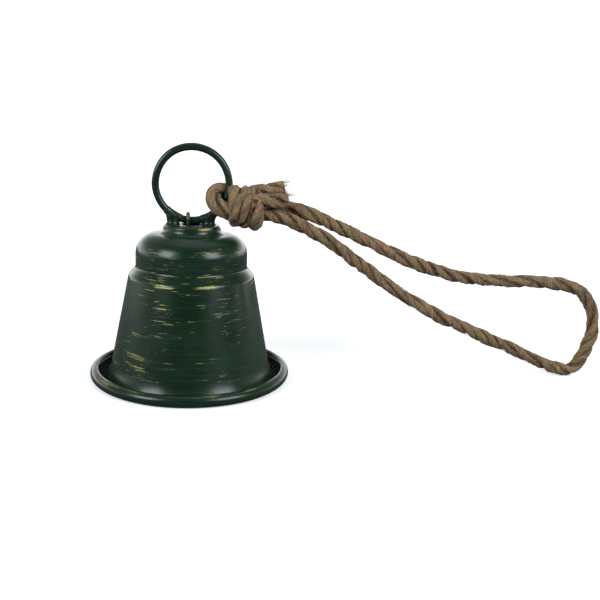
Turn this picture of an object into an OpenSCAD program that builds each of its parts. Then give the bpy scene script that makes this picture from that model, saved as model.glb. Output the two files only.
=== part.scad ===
// Pressed-steel bell ornament with a brazed hanging ring, a swinging clapper and a jute rope loop.
// Millimetres, +Z up. The origin is the centre of the circle that the bell stands on.
// The hanging ring lies in the XZ plane, and the rope loop runs out along +X.

/* [Bell shell] */
// Outer diameter of the brim
brim_d = 100; // [92:1:125]
// Height of the flat crown above the surface that the bell stands on
crown_h = 77.4; // [74:0.2:96]
// Thickness of the pressed sheet
sheet_t = 1; // [0.7:0.1:1.3]
// Diameter of the upper band, just under the rounded shoulder
band_d = 54.7; // [50:0.5:58]
// Height of the top of the shoulder below the crown
boss_h = 4.4; // [4:0.2:8]
// Diameter of the flat-topped boss that carries the ring
boss_d = 27.8; // [26:0.2:32]
// Diameter of the skirt at its top, just under the step
skirt_top_d = 62; // [60:0.5:68]

/* [Bell rounding] */
// Radius of the crown's edge
crown_edge_r = 1.3; // [1.2:0.1:2]
// Radius of the hollow between the boss and the shoulder
neck_r = 2.6; // [2:0.1:3]
// Radius of the shoulder
shoulder_r = 10; // [8:0.5:11]
// Height of the upright band between the shoulder and the step
band_h = 5.6; // [4:0.2:8]
// Radius of the hollow above the step
step_hollow_r = 2; // [1:0.1:3]
// Radius of the rounded edge below the step
step_edge_r = 2.6; // [2:0.1:4]
// Height from the top of the step to the centre of its rounded edge
step_h = 6; // [5.5:0.1:8]
// Radius of the long flare at the foot of the skirt
flare_r = 26; // [18:1:32]
// Angle from upright at which the flare turns into the gutter
flare_angle = 26; // [22:1:34]
// Radius of the turn from the flare into the gutter
gutter_turn_r = 4; // [3:0.2:5]

/* [Brim] */
// Outer radius of the turned-up lip
lip_r = 3; // [2.6:0.1:4]
// Width of the flat bottom of the gutter, which the bell stands on
gutter_flat_w = 2.2; // [1.6:0.1:4]
// Angle that the lip curls through, from flat
lip_curl = 205; // [180:5:225]

/* [Hanging ring] */
// Outer diameter of the ring
ring_d = 39; // [34:0.5:42]
// Diameter of the ring's wire
ring_wire_d = 3.6; // [3:0.1:4]
// Gap between the ring and the crown
ring_gap = 0.2; // [0.1:0.1:0.6]
// Distance from the crown's hole to the foot of the left braze
braze_left_gap = 1.3; // [0.1:0.1:1.6]
// Distance from the crown's hole to the foot of the right braze
braze_right_gap = 0.1; // [0.1:0.1:1.6]
// Diameter of a braze at its waist
braze_waist_d = 5.2; // [4.6:0.1:5.4]
// Diameter of a braze where it spreads on the crown
braze_foot_d = 5.8; // [5.4:0.1:6]

/* [Clapper] */
// Room between the hanger's legs and the edge of the crown's hole
hanger_hole_play = 0.55; // [0.5:0.05:0.8]
// Diameter of the wire of the hanger and the clapper
hanger_wire_d = 1.9; // [1.6:0.1:2]
// Play between the hanger and the ring, and between the clapper's eye and the hanger
hanger_play = 0.25; // [0.2:0.05:0.3]
// Distance of the hanger from the bell's axis
hanger_x = 2; // [0:0.5:2.5]
// Length of the hanger between the centres of its two bends
hanger_len = 16; // [13:0.5:20]
// Distance from the lower bend of the hanger to the centre of the ball
clapper_len = 44; // [36:0.5:46]
// Diameter of the ball
ball_d = 16; // [12:0.5:17]
// Depth of the flats where the rod enters and leaves the ball
ball_flat = 0.6; // [0.2:0.1:2]
// Play of the rod in the ball's bore
ball_play = 0.05; // [0.02:0.01:0.1]
// Diameter of the rivet head that holds the ball on the rod
rivet_d = 4.4; // [3.6:0.2:5]
// Thickness of that rivet head
rivet_h = 1.2; // [0.8:0.1:1.6]

/* [Rope] */
// Diameter of the rope
rope_d = 6.2; // [5.4:0.1:6.2]
// Number of turns wrapped round the knot
wrap_count = 3; // [3:1:4]
// Distance between two turns of the wrapping
wrap_pitch = 5.3; // [4.8:0.1:5.6]
// Outer diameter of the wrapping
wrap_d = 20.2; // [17:0.2:20.6]
// Length of each cut rope end
tail_len = 13.4; // [8:0.2:15]
// Diameter of a cut rope end, which is a little untwisted
tail_d = 6.8; // [6:0.1:7]

/* [Hidden] */

$fn = 96;
arc_steps = 8;
rope_sides = 10;
cut_extra = 1;

green = [0.13, 0.21, 0.16];
steel = [0.62, 0.62, 0.60];
jute = [0.47, 0.39, 0.31];

// Hanger's wire, and the hole in the crown that both of the hanger's legs pass through
ring_wire_r = ring_wire_d / 2;
wire_r = hanger_wire_d / 2;
hanger_bend_r = ring_wire_r + wire_r + hanger_play;
hanger_hole_r = norm([hanger_x, hanger_bend_r]) + wire_r + hanger_hole_play;

// Bell shell: radii of the fillets that their neighbours limit
brim_r = brim_d / 2;
boss_r = boss_d / 2;
band_r = band_d / 2;
least_bend_r = 0.1;
edge_r = max(sheet_t + least_bend_r, min(crown_edge_r, boss_h - neck_r));
shelf_r = min(shoulder_r, band_r - boss_r - neck_r);

// Bell shell: heights and centres of the arcs that make the upper face of the sheet
shoulder_z = crown_h - boss_h;
band_top_z = shoulder_z - shelf_r;
step_z = band_top_z - band_h;
crown_edge_c = [boss_r - edge_r, crown_h - edge_r];
neck_c = [boss_r + neck_r, shoulder_z + neck_r];
shoulder_c = [band_r - shelf_r, band_top_z];
step_hollow_c = [band_r + step_hollow_r, step_z];
step_edge_c = [skirt_top_d / 2 - step_edge_r, step_z - step_h];
lip_c = [brim_r - lip_r, lip_r];
gutter_turn_c = [lip_c[0] - gutter_flat_w, sheet_t + gutter_turn_r];
flare_c = gutter_turn_c + (flare_r - gutter_turn_r) * [cos(flare_angle), sin(flare_angle)];

// Angle of the outward normal of the line that runs between a hollow arc and a rounded one
step_span = step_hollow_c - step_edge_c;
step_angle = atan2(step_span[1], step_span[0])
    - acos((step_hollow_r + step_edge_r) / norm(step_span));
skirt_span = flare_c - step_edge_c;
skirt_angle = atan2(skirt_span[1], skirt_span[0])
    + acos((flare_r + step_edge_r) / norm(skirt_span));

// Ring and the brazes that hold it
ring_mid_r = ring_d / 2 - ring_wire_r;
ring_z = crown_h + ring_gap + ring_d / 2;
braze_foot_r = braze_foot_d / 2;
braze_waist_r = braze_waist_d / 2;
braze_left_x = hanger_hole_r + braze_left_gap + braze_foot_r;
braze_right_x = hanger_hole_r + braze_right_gap + braze_foot_r;
braze_top_z = ring_z - sqrt(ring_mid_r * ring_mid_r - braze_left_x * braze_left_x);
// Outline of a braze: share of the foot's spread that is left at each share of the height
braze_outline = [[1, 0], [0.3, 0.2], [0, 0.5], [0, 1]];

// Hanger: its upper bend is centred on the ring's wire, its lower bend holds the clapper's eye
hanger_top_z = ring_z - sqrt(ring_mid_r * ring_mid_r - hanger_x * hanger_x);
hanger_low_z = hanger_top_z - hanger_len;
pivot_z = hanger_low_z - hanger_bend_r;

// Clapper
eye_r = 2 * wire_r + hanger_play;
ball_z = pivot_z - clapper_len;
ball_h = ball_d - 2 * ball_flat;
rod_low_z = ball_z - ball_h / 2;

// Rope: the knot's axis, then points along the middle of the rope
rope_r = rope_d / 2;
wrap_mid_r = wrap_d / 2 - rope_r;
knot_centre = [26.6, -1.5, 86.2];
knot_tilt = 9;
loop_side = [0.06, 1, 0];
loop_route = [
    [31, 2.2, 86.2], [38, 2, 86.4], [47, 1, 86], [55.5, -0.5, 84.6], [63, -1.5, 82], [72, -2, 78],
    [81.5, -2.5, 74], [91, -2.5, 70], [101, -3, 65.5], [110.5, -3, 61.5], [120.5, -3.5, 58], [130, -3.5, 55],
    [140, -4, 53], [150, -4, 52.3], [160, -4.5, 52], [170, -4.5, 51.8], [180, -4.5, 51.5], [189, -5, 51],
    [197, -5, 49.6], [204.5, -5.5, 46.5], [210, -5.5, 41], [213, -5.5, 34], [213.8, -5.5, 25.5],
    [211.8, -5.5, 16], [208, -5.5, 8.2], [202.5, -5.5, 3.8], [194.5, -5.5, 4.8], [184, -5.5, 8.8],
    [174, -5.5, 13.2], [163, -5.5, 18], [152, -5, 22.2], [142, -5, 26.3], [131.5, -5, 30.8],
    [121.5, -5, 35.7], [111.5, -5, 41.3], [102, -5, 47.4], [92, -5, 54.2], [82, -4.5, 60.9],
    [72.5, -4.5, 67.3], [63, -4.5, 73.5], [55.2, -4.8, 77.6], [47, -5, 81.5], [38, -4.5, 83.8],
    [31, -4.2, 84]];
eye_side = [0.2, 0, 1];
eye_route = [
    [24, 2, 91.5], [20, 4.6, 92.6], [16.2, 5.2, 93.4], [12.8, 4, 93.6], [10.7, 0.8, 92.4],
    [10.2, -2.6, 90.2], [11.3, -5, 88], [14, -5.7, 86], [18.6, -5.4, 84.2], [24, -3.6, 83]];
tail_starts = [[32, 0.5, 94], [33, -6.7, 89.9]];
tail_turn = [79, 81];

// Points of an arc from one angle to the other, moved sideways through the sheet by a change of radius
function arc_points(c, r, from, to) =
    [for (i = [0:arc_steps]) let (a = from + (to - from) * i / arc_steps) c + r * [cos(a), sin(a)]];

// One face of the sheet, from the hole in the crown to the end of the lip. depth is 0 for the upper
// face and the sheet's thickness for the lower one.
function sheet_face(depth) = concat(
    [[hanger_hole_r, crown_h - depth]],
    arc_points(crown_edge_c, edge_r - depth, 90, 0),
    arc_points(neck_c, neck_r + depth, 180, 270),
    arc_points(shoulder_c, shelf_r - depth, 90, 0),
    arc_points(step_hollow_c, step_hollow_r + depth, 180, 180 + step_angle),
    arc_points(step_edge_c, step_edge_r - depth, step_angle, skirt_angle),
    arc_points(flare_c, flare_r + depth, 180 + skirt_angle, 180 + flare_angle),
    arc_points(gutter_turn_c, gutter_turn_r + depth, 180 + flare_angle, 270),
    arc_points(lip_c, lip_r - sheet_t + depth, -90, lip_curl - 90));

function reversed(list) = [for (i = [len(list) - 1:-1:0]) list[i]];

function unit(v) = v / norm(v);

// Direction of a route at one of its points
function heading(route, i) = unit(route[min(i + 1, len(route) - 1)] - route[max(i - 1, 0)]);

// Ring of points round a route, square to it; side is a direction that the route never follows
function rope_ring(route, i, side) =
    let (t = heading(route, i), u = unit(cross(t, side)), v = cross(u, t))
    [for (k = [0:rope_sides - 1]) let (a = 360 * k / rope_sides)
        route[i] + rope_r * (cos(a) * u + sin(a) * v)];

// Closed tube along a route
module rope_tube(route, side) {
    rings = len(route);
    points = [for (i = [0:rings - 1]) each rope_ring(route, i, side)];
    walls = [for (i = [0:rings - 2]) for (k = [0:rope_sides - 1])
        let (n = (k + 1) % rope_sides, a = i * rope_sides, b = a + rope_sides)
        each [[a + k, b + k, b + n], [a + k, b + n, a + n]]];
    start_cap = [[for (k = [0:rope_sides - 1]) k]];
    end_cap = [[for (k = [rope_sides - 1:-1:0]) (rings - 1) * rope_sides + k]];
    polyhedron(points, concat(start_cap, walls, end_cap));
}

// Ring of round wire about the Z axis
module wire_ring(mid_r, r) {
    rotate_extrude()
        translate([mid_r, 0])
            circle(r);
}

module ring_solid() {
    translate([0, 0, ring_z])
        rotate([90, 0, 0])
            wire_ring(ring_mid_r, ring_wire_r);
}

module bell_shell() {
    color(green)
        rotate_extrude()
            polygon(concat(sheet_face(0), reversed(sheet_face(sheet_t))));
}

module hanging_ring() {
    color(green)
        ring_solid();
}

// Waisted column of braze metal that rises from the crown into the underside of the ring
module braze(x) {
    height = braze_top_z - crown_h;
    spread = braze_foot_r - braze_waist_r;
    outline = [for (p = braze_outline) [braze_waist_r + spread * p[0], height * p[1]]];
    color(green)
        difference() {
            translate([x, 0, crown_h])
                rotate_extrude()
                    polygon(concat([[0, 0]], outline, [[0, height]]));
            ring_solid();
        }
}

module ring_braze_left() {
    braze(-braze_left_x);
}

module ring_braze_right() {
    braze(braze_right_x);
}

// Half of a wire ring, from the Y axis round through +Z
module hanger_bend() {
    rotate([90, 0, 90])
        rotate_extrude(angle = 180)
            translate([hanger_bend_r, 0])
                circle(wire_r);
}

module clapper_hanger() {
    color(green)
        translate([-hanger_x, 0, 0]) {
            translate([0, 0, hanger_top_z])
                hanger_bend();
            translate([0, 0, hanger_low_z])
                mirror([0, 0, 1])
                    hanger_bend();
            for (side = [-1, 1])
                translate([0, side * hanger_bend_r, hanger_low_z])
                    cylinder(r = wire_r, h = hanger_len);
        }
}

module clapper_rod() {
    color(steel)
        translate([-hanger_x, 0, 0]) {
            translate([0, 0, pivot_z])
                rotate([90, 0, 0])
                    wire_ring(eye_r, wire_r);
            translate([0, 0, rod_low_z - rivet_h / 2])
                cylinder(r = wire_r, h = pivot_z - eye_r - rod_low_z + rivet_h / 2);
            translate([0, 0, rod_low_z - rivet_h])
                cylinder(d = rivet_d, h = rivet_h);
        }
}

module clapper_ball() {
    color(steel)
        translate([-hanger_x, 0, ball_z])
            difference() {
                intersection() {
                    sphere(d = ball_d);
                    cylinder(d = ball_d + cut_extra, h = ball_h, center = true);
                }
                cylinder(r = wire_r + ball_play, h = ball_d + cut_extra, center = true);
            }
}

module rope_loop() {
    color(jute)
        rope_tube(loop_route, loop_side);
}

module rope_eye() {
    color(jute)
        rope_tube(eye_route, eye_side);
}

module rope_knot() {
    wrap_len = wrap_pitch * (wrap_count - 1);
    color(jute)
        translate(knot_centre)
            rotate([0, 90 + knot_tilt, 0])
                rotate_extrude()
                    union() {
                        for (i = [0:wrap_count - 1])
                            translate([wrap_mid_r, wrap_pitch * i - wrap_len / 2])
                                circle(rope_r);
                        translate([0, -wrap_len / 2 - rope_r / 2])
                            square([wrap_mid_r, wrap_len + rope_r]);
                    }
}

module rope_tails() {
    color(jute)
        for (i = [0:1])
            translate(tail_starts[i])
                rotate([0, tail_turn[i], 0])
                    cylinder(d = tail_d, h = tail_len);
}

bell_shell();
hanging_ring();
ring_braze_left();
ring_braze_right();
clapper_hanger();
clapper_rod();
clapper_ball();
rope_loop();
rope_eye();
rope_knot();
rope_tails();
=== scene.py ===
import math
import random

import bmesh
import bpy
import numpy as np
from bpy.props import FloatProperty, FloatVectorProperty, IntProperty, PointerProperty
from bpy.types import Operator, Panel, PropertyGroup
from mathutils import Matrix, Vector, kdtree, noise


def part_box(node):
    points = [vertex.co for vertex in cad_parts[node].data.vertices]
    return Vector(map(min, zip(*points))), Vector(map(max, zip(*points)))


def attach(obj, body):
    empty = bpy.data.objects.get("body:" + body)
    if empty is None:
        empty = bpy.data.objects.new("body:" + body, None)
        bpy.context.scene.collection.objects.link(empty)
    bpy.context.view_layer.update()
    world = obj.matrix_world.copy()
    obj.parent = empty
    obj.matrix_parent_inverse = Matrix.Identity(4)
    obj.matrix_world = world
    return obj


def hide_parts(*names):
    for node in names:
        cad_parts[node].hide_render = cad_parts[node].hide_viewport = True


bl_info = {
    "name": "Gilded Bell Ornament",
    "version": (1, 0, 0),
    "blender": (4, 5, 0),
    "location": "3D View > Sidebar > Bell",
    "description": "Dresses the packed bell with paint, gold, a hanging ring, a clapper and a jute rope",
    "category": "Add Mesh",
}

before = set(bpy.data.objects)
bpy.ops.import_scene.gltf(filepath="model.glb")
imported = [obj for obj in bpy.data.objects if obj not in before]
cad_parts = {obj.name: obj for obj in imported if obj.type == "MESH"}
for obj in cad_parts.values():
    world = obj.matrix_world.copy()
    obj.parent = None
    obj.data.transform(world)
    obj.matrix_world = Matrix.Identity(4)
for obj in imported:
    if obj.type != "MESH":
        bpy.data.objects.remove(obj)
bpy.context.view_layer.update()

MM = 0.001

# Middle of the rope, from the knot out along the upper run, round the far end and back
LOOP_ROUTE = [
    (0.031, 0.0022, 0.0862), (0.038, 0.002, 0.0864), (0.047, 0.001, 0.086),
    (0.0555, -0.0005, 0.0846), (0.063, -0.0015, 0.082), (0.072, -0.002, 0.078),
    (0.0815, -0.0025, 0.074), (0.091, -0.0025, 0.07), (0.101, -0.003, 0.0655),
    (0.1105, -0.003, 0.0615), (0.1205, -0.0035, 0.058), (0.13, -0.0035, 0.055),
    (0.14, -0.004, 0.053), (0.15, -0.004, 0.0523), (0.16, -0.0045, 0.052),
    (0.17, -0.0045, 0.0518), (0.18, -0.0045, 0.0515), (0.189, -0.005, 0.051),
    (0.197, -0.005, 0.0496), (0.2045, -0.0055, 0.0465), (0.21, -0.0055, 0.041),
    (0.213, -0.0055, 0.034), (0.2138, -0.0055, 0.0255), (0.2118, -0.0055, 0.016),
    (0.208, -0.0055, 0.0082), (0.2025, -0.0055, 0.0038), (0.1945, -0.0055, 0.0048),
    (0.184, -0.0055, 0.0088), (0.174, -0.0055, 0.0132), (0.163, -0.0055, 0.018),
    (0.152, -0.005, 0.0222), (0.142, -0.005, 0.0263), (0.1315, -0.005, 0.0308),
    (0.1215, -0.005, 0.0357), (0.1115, -0.005, 0.0413), (0.102, -0.005, 0.0474),
    (0.092, -0.005, 0.0542), (0.082, -0.0045, 0.0609), (0.0725, -0.0045, 0.0673),
    (0.063, -0.0045, 0.0735), (0.0552, -0.0048, 0.0776), (0.047, -0.005, 0.0815),
    (0.038, -0.0045, 0.0838), (0.031, -0.0042, 0.084),
]
# Middle of the rope where it passes through the hanging ring
EYE_ROUTE = [
    (0.024, 0.002, 0.0915), (0.02, 0.0046, 0.0926), (0.0162, 0.0052, 0.0934),
    (0.0128, 0.004, 0.0936), (0.0107, 0.0008, 0.0924), (0.0102, -0.0026, 0.0902),
    (0.0113, -0.005, 0.088), (0.014, -0.0057, 0.086), (0.0186, -0.0054, 0.0842),
    (0.024, -0.0036, 0.083),
]
# Where each cut rope end leaves the knot, and how many degrees it leans from upright towards +X
TAIL_STARTS = [(0.032, 0.0005, 0.094), (0.033, -0.0067, 0.0899)]
TAIL_TURNS = [79, 81]

# Distance between stations along a laid rope, and facets round one of its strands
ROPE_STEP = 0.75 * MM
STRAND_SIDES = 22
# Points along a loose fibre, its radius, and how far above the floor it stays
HAIR_POINTS = 5
HAIR_RADIUS = 0.07 * MM
HAIR_FLOOR = 0.1 * MM
# Vertices closer than this are one vertex
SAME_PLACE = 0.001 * MM

# Main gold strokes. Each holds the angle from the front and its half sweep in degrees, then the
# distance along the sheet from the crown's hole, the half width and the rise in millimetres, and
# how thickly the gold lies.
STROKES = [
    (28, 28, 8.7, 0.8, 0.0, 1.0),
    (22, 13, 11.3, 0.5, 0.0, 0.8),
    (-36, 26, 26.6, 0.7, 0.3, 0.55),
    (16, 17, 25.7, 0.7, 0.2, 0.85),
    (54, 13, 26.2, 0.4, 0.8, 0.6),
    (-9, 13, 31.7, 0.35, 0.2, 0.6),
    (25, 14, 31.9, 0.45, 0.9, 0.65),
    (-2, 14, 35.4, 0.4, 0.3, 0.4),
    (-29, 13, 38.2, 0.9, 0.2, 0.6),
    (-26, 19, 42.8, 0.5, 0.0, 0.95),
    (15, 20, 42.2, 0.5, 0.3, 1.0),
    (47, 22, 47.5, 0.7, 1.6, 0.5),
    (-25, 13, 52.8, 0.5, -0.4, 0.75),
    (11, 12, 51.4, 0.4, 0.4, 0.6),
    (-28, 8, 58.6, 0.4, -0.5, 0.55),
    (22, 11, 55.6, 1.5, 0.6, 0.62),
    (30, 19, 61.4, 1.1, 1.0, 0.5),
    (34, 15, 69.6, 1.4, 1.1, 0.48),
    (-43, 26, 76.8, 1.3, -0.8, 0.6),
    (-41, 17, 82.2, 1.0, -1.6, 0.85),
    (26, 7, 83.4, 0.5, 0.3, 0.6),
]
# The same on the brim, with the distance outwards from the top of its lip
BRIM_STROKES = [
    (-52, 24, 1.2, 1.3, 0.0, 0.62),
    (-33, 14, 1.6, 0.9, 0.3, 0.58),
    (4, 10, 1.8, 0.6, -0.2, 0.6),
    (12, 10, 1.6, 0.7, 0.0, 1.0),
    (34, 14, 1.0, 0.8, 0.2, 0.62),
    (-80, 12, 1.5, 1.1, 0.0, 0.5),
]


# ---------------------------------------------------------------------------- settings


class StudioSettings(PropertyGroup):
    """Camera and lights."""

    distance: FloatProperty(
        name="Distance", description="How far the camera stands in front of the bell's axis",
        default=0.3746, min=0.1, unit="LENGTH")
    height: FloatProperty(
        name="Height", description="Height of the camera above the floor",
        default=0.1302, min=0.0, unit="LENGTH")
    lens: FloatProperty(
        name="Lens", description="Focal length in millimetres on a 36 mm wide sensor",
        default=45.6, min=10, max=300)
    turn: FloatProperty(
        name="Turn", description="How far the camera looks to the right of the bell's axis",
        default=math.radians(8.35), subtype="ANGLE")
    tilt: FloatProperty(
        name="Tilt", description="How far the camera looks down",
        default=math.radians(13.46), subtype="ANGLE")
    roll: FloatProperty(
        name="Roll", description="How far the camera leans to the right",
        default=math.radians(2.42), subtype="ANGLE")
    softbox: FloatProperty(
        name="Softboxes", description="Power of each of the two front softboxes",
        default=6.4, min=0, subtype="POWER")
    overhead: FloatProperty(
        name="Overhead", description="Power of the overhead light",
        default=1.1, min=0, subtype="POWER")
    fill: FloatProperty(
        name="Fill", description="Brightness of the room behind the bell",
        default=3.0, min=0)


class ShellSettings(PropertyGroup):
    """Bell shell, its paint and its gold."""

    segments: IntProperty(
        name="Segments", description="Facets round the bell", default=192, min=48)
    spacing: FloatProperty(
        name="Spacing", description="Longest edge across the sheet's section",
        default=0.72 * MM, min=0.3 * MM, unit="LENGTH")
    dent: FloatProperty(
        name="Unevenness", description="How far the pressed sheet strays from a true circle",
        default=0.10 * MM, min=0, unit="LENGTH")
    paint: FloatVectorProperty(
        name="Paint", description="Colour of the green paint", subtype="COLOR", size=4,
        default=(0.0058, 0.0225, 0.0098, 1), min=0, max=1)
    gold: FloatVectorProperty(
        name="Gold", description="Colour of the brushed gold paint", subtype="COLOR", size=4,
        default=(0.52, 0.47, 0.16, 1), min=0, max=1)
    dabs: IntProperty(
        name="Dabs", description="Small brush dabs scattered over the bell", default=330, min=0)
    seed: IntProperty(name="Seed", description="Changes where the small dabs fall", default=7)


class RingSettings(PropertyGroup):
    """Hanging ring and its two brazes."""

    segments: IntProperty(
        name="Segments", description="Facets round the ring", default=192, min=24)
    wire_segments: IntProperty(
        name="Wire segments", description="Facets round the ring's wire", default=32, min=8)
    braze_collar: FloatProperty(
        name="Braze collar", description="How far the braze metal climbs round the wire",
        default=0.35 * MM, min=0, unit="LENGTH")
    braze_grain: FloatProperty(
        name="Braze grain", description="Size of the smallest step in a braze",
        default=0.22 * MM, min=0.1 * MM, unit="LENGTH")


class ClapperSettings(PropertyGroup):
    """Hanger, rod and ball."""

    steel: FloatVectorProperty(
        name="Steel", description="Colour of the bare steel", subtype="COLOR", size=4,
        default=(0.36, 0.36, 0.35, 1), min=0, max=1)


class RopeSettings(PropertyGroup):
    """Jute rope."""

    diameter: FloatProperty(
        name="Diameter", description="Diameter of the rope", default=6.2 * MM, unit="LENGTH")
    loop_length: FloatProperty(
        name="Loop length", description="Length of rope in the loop, from the knot and back to it",
        default=0.422, unit="LENGTH")
    strands: IntProperty(name="Strands", description="Strands laid in the rope", default=3, min=2)
    lay: FloatProperty(
        name="Lay", description="Length in which a strand goes once round the rope",
        default=31 * MM, unit="LENGTH")
    hairs: IntProperty(
        name="Hairs", description="Loose fibres on each metre of rope", default=5200, min=0)
    colour: FloatVectorProperty(
        name="Jute", description="Colour of the jute", subtype="COLOR", size=4,
        default=(0.275, 0.187, 0.113, 1), min=0, max=1)


SETTINGS = {
    "bell_studio": StudioSettings,
    "bell_shell": ShellSettings,
    "bell_ring": RingSettings,
    "bell_clapper": ClapperSettings,
    "bell_rope": RopeSettings,
}


# ---------------------------------------------------------------------------- mesh helpers


def finish_piece(name, bm, material, body, stands_for=()):
    """Turns a bmesh into a smooth piece that rides on a body."""
    mesh = bpy.data.meshes.new(name)
    bm.to_mesh(mesh)
    bm.free()
    if "custom_normal" in mesh.attributes:
        mesh.attributes.remove(mesh.attributes["custom_normal"])
    mesh.shade_smooth()
    piece = bpy.data.objects.new(name, mesh)
    bpy.context.scene.collection.objects.link(piece)
    for one in material if isinstance(material, (list, tuple)) else [material]:
        mesh.materials.append(one)
    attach(piece, body)
    if stands_for:
        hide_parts(*stands_for)
    return piece


def section_of(node):
    """Right half of a turned part's section, as a bmesh with one closed loop of edges."""
    bm = bmesh.new()
    bm.from_mesh(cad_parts[node].data)
    bmesh.ops.remove_doubles(bm, verts=bm.verts, dist=SAME_PLACE)
    cut = bmesh.ops.bisect_plane(
        bm, geom=bm.verts[:] + bm.edges[:] + bm.faces[:], plane_co=(0, 0, 0), plane_no=(0, 1, 0))
    kept = {v for v in cut["geom_cut"] if isinstance(v, bmesh.types.BMVert) and v.co.x > 0}
    edges = {e for e in cut["geom_cut"]
             if isinstance(e, bmesh.types.BMEdge) and all(v in kept for v in e.verts)}
    bmesh.ops.delete(bm, geom=bm.faces[:], context="FACES_ONLY")
    bmesh.ops.delete(bm, geom=[e for e in bm.edges if e not in edges], context="EDGES")
    bmesh.ops.delete(bm, geom=[v for v in bm.verts if not v.link_edges], context="VERTS")
    return bm


def walk_loop(bm, start, second):
    """Vertices of a closed loop of edges in order."""
    order = [start, second]
    while True:
        following = [e.other_vert(order[-1]) for e in order[-1].link_edges
                     if e.other_vert(order[-1]) != order[-2]][0]
        if following == start:
            return order
        order.append(following)


def smooth_line(points, spacing):
    """Evenly spaced points on a smooth curve through the given ones, and its length."""
    given = np.array(points, float)
    given = np.vstack([2 * given[0] - given[1], given, 2 * given[-1] - given[-2]])
    share = np.linspace(0, 1, 24, endpoint=False)[:, None]
    fine = [
        0.5 * (2 * b + (c - a) * share + (2 * a - 5 * b + 4 * c - d) * share ** 2
               + (3 * b - a - 3 * c + d) * share ** 3)
        for a, b, c, d in zip(given, given[1:], given[2:], given[3:])]
    fine = np.vstack(fine + [given[-2:-1]])
    run = np.concatenate([[0], np.cumsum(np.linalg.norm(np.diff(fine, axis=0), axis=1))])
    even = np.linspace(0, run[-1], max(3, round(run[-1] / spacing)) + 1)
    return np.stack([np.interp(even, run, fine[:, k]) for k in range(3)], axis=1), run[-1]


def frames_along(line):
    """Heading, side and up of a line at each of its points, without any twist."""
    heading = np.gradient(line, axis=0)
    heading /= np.linalg.norm(heading, axis=1)[:, None]
    side = np.cross(heading[0], (0.3, 0.2, 1.0))
    sides = []
    for h in heading:
        side = side - h * (side @ h)
        side = side / np.linalg.norm(side)
        sides.append(side)
    sides = np.array(sides)
    return heading, sides, np.cross(heading, sides)


def drift(count, step, wave, amount, seed):
    """Slow wander along a line: one value for each point."""
    return np.array([amount * noise.noise((i * step / wave, seed * 3.7, 0.5)) for i in range(count)])


# ---------------------------------------------------------------------------- node helpers


def feed(tree, node, inputs):
    """Sets a node's inputs. Each is a value or the socket that feeds it."""
    for key, value in inputs.items():
        if isinstance(value, bpy.types.NodeSocket):
            tree.links.new(value, node.inputs[key])
        else:
            node.inputs[key].default_value = value


def put(tree, kind, inputs=None, **settings):
    """Adds a node with its settings and inputs."""
    made = tree.nodes.new(kind)
    for name, value in settings.items():
        setattr(made, name, value)
    feed(tree, made, inputs or {})
    return made


def arith(tree, operation, *values, clamp=False):
    return put(tree, "ShaderNodeMath", dict(enumerate(values)),
               operation=operation, use_clamp=clamp).outputs[0]


def fit_range(tree, value, low, high, to_low=0.0, to_high=1.0, shape="LINEAR"):
    return put(tree, "ShaderNodeMapRange",
               {"Value": value, "From Min": low, "From Max": high, "To Min": to_low, "To Max": to_high},
               interpolation_type=shape, clamp=True).outputs["Result"]


def blend_colour(tree, share, first, second, mode="MIX"):
    return put(tree, "ShaderNodeMix", {0: share, 6: first, 7: second},
               data_type="RGBA", blend_type=mode).outputs[2]


def blend_value(tree, share, first, second):
    return put(tree, "ShaderNodeMix", {0: share, 2: first, 3: second}, data_type="FLOAT").outputs[0]


def tinted(tree, colour, tint):
    """A colour multiplied in full by a tint."""
    return blend_colour(tree, 1.0, colour, (*tint, 1), "MULTIPLY")


def scaled(tree, value, factor):
    return arith(tree, "MULTIPLY", value, factor)


def total(tree, first, *others):
    """The sum of two or more values."""
    for other in others:
        first = arith(tree, "ADD", first, other)
    return first


def grain(tree, vector, scale, detail=2.0, roughness=0.5, kind="ShaderNodeTexNoise"):
    return put(tree, kind, {"Vector": vector, "Scale": scale, "Detail": detail,
                            "Roughness": roughness}).outputs[0]


def stretched(tree, vector, scale):
    return put(tree, "ShaderNodeMapping", {"Vector": vector, "Scale": scale}).outputs[0]


def new_material(name):
    """Material with only a Principled shader and an output."""
    material = bpy.data.materials.new(name)
    material.use_nodes = True
    tree = material.node_tree
    tree.nodes.clear()
    shader = put(tree, "ShaderNodeBsdfPrincipled")
    put(tree, "ShaderNodeOutputMaterial", {"Surface": shader.outputs[0]})
    return material, tree, shader


def bumped(tree, height, strength, distance):
    """Normals of a surface that stands up to a distance proud."""
    return put(tree, "ShaderNodeBump",
               {"Strength": strength, "Distance": distance, "Height": height}).outputs[0]


def object_place(tree):
    return put(tree, "ShaderNodeTexCoord").outputs["Object"]


def new_group(name, inputs, outputs):
    """Empty shader group with named float or colour sockets."""
    group = bpy.data.node_groups.new(name, "ShaderNodeTree")
    for label, kind, default in inputs:
        socket = group.interface.new_socket(label, in_out="INPUT", socket_type=kind)
        if default is not None:
            socket.default_value = default
    for label, kind in outputs:
        group.interface.new_socket(label, in_out="OUTPUT", socket_type=kind)
    return group, put(group, "NodeGroupInput"), put(group, "NodeGroupOutput")


def use_group(tree, group, inputs):
    return put(tree, "ShaderNodeGroup", inputs, node_tree=group)


def once(collection, name, make):
    """The datablock of that name, made the first time it is asked for."""
    found = collection.get(name)
    return found if found is not None else make(name)


# ---------------------------------------------------------------------------- shared effects


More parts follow.
